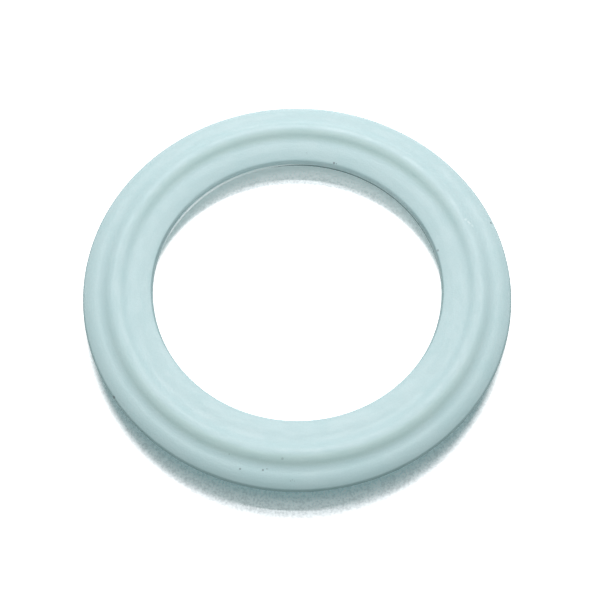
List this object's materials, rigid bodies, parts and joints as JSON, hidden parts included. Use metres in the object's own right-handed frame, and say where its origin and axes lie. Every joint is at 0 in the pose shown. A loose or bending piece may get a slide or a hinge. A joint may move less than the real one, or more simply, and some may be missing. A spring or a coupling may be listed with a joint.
{
  "type": "sanitary clamp gasket",
  "caption": "Flat silicone sealing ring with a round bead on each face, for the joint between two clamped sanitary ferrules on hygienic tube.",
  "frame": {"origin": "on the ring's axis, at the mid-plane of the web, halfway between the two beads", "axes": "+Z along the ring's axis, up as it lies on its lower bead; the section is the same all round, so X and Y are free"},
  "size_m": [0.0514, 0.0514, 0.0032],
  "materials": {
    "silicone": "pale aqua moulded silicone rubber, satin, with a few dark specks"
  },
  "bodies": {
    "root": {"gasket": "silicone"}
  },
  "joints": []
}
